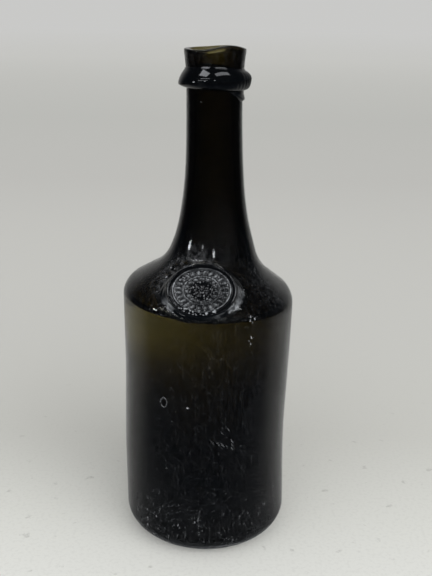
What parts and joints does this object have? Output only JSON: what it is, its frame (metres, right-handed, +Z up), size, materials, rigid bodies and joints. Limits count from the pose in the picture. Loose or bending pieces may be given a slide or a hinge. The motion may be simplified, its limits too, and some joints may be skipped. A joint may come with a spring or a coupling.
{
  "type": "mineral water bottle",
  "caption": "Free-blown dark olive glass bottle with a cylindrical body, tall tapering neck, applied string rim and an oval stamped shoulder seal.",
  "frame": {"origin": "on the standing surface, under the centre of the body", "axes": "+Z up along the bottle, -Y towards the side that carries the seal, +X to the right of the seal"},
  "size_m": [0.0941, 0.094, 0.2774],
  "materials": {
    "vessel_glass": "worn, hazy olive glass that looks black where it is thick",
    "rim_glass": "glossy black-olive glass, fire-polished",
    "seal_glass": "stamped black-olive glass with a silvery worn relief",
    "scar_glass": "rough broken glass"
  },
  "bodies": {
    "root": {"bottle_body": "vessel_glass", "string_rim": "rim_glass", "shoulder_seal": "seal_glass", "pontil_scar": "scar_glass"}
  },
  "joints": []
}
